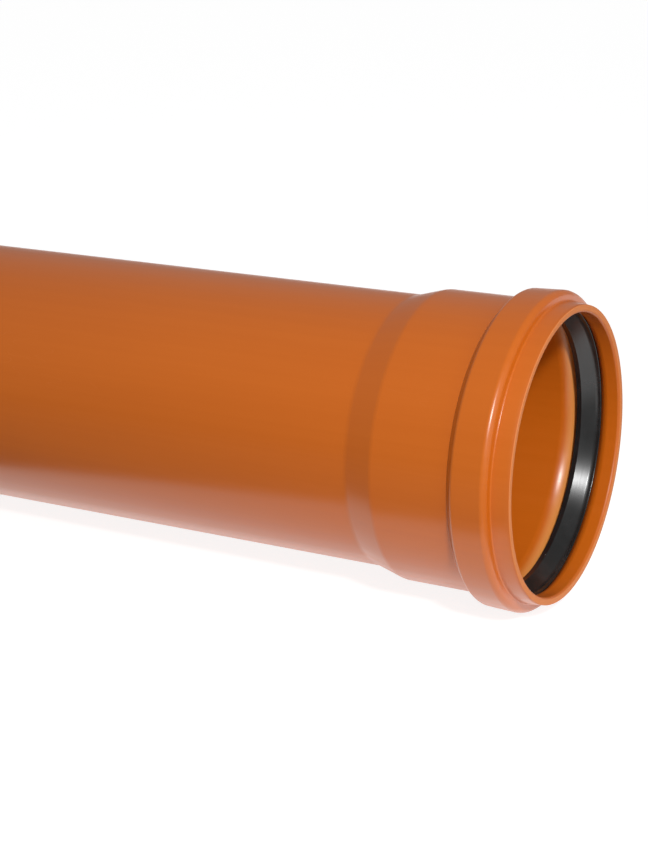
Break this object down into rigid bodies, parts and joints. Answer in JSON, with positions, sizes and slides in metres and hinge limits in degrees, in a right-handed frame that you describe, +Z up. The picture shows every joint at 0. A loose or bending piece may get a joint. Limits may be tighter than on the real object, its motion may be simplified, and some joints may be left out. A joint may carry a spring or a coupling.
{
  "type": "sewer pipe",
  "caption": "Orange-brown plastic sewer pipe with a chamfered spigot at one end and, at the other, a formed socket whose raised bead holds a black rubber lip seal.",
  "frame": {"origin": "on the ground, below the middle of the pipe's length", "axes": "+X along the pipe, towards the socket's mouth; +Z up; the pipe's own axis leans 0.64 degrees up towards the mouth, because the pipe rests on the socket's bead and on the spigot's end"},
  "size_m": [1.0837, 0.1838, 0.1837],
  "materials": {
    "orange_pvc": "satin",
    "black_rubber": "satin"
  },
  "bodies": {
    "root": {"pipe": "orange_pvc", "seal_ring": "black_rubber"}
  },
  "joints": []
}
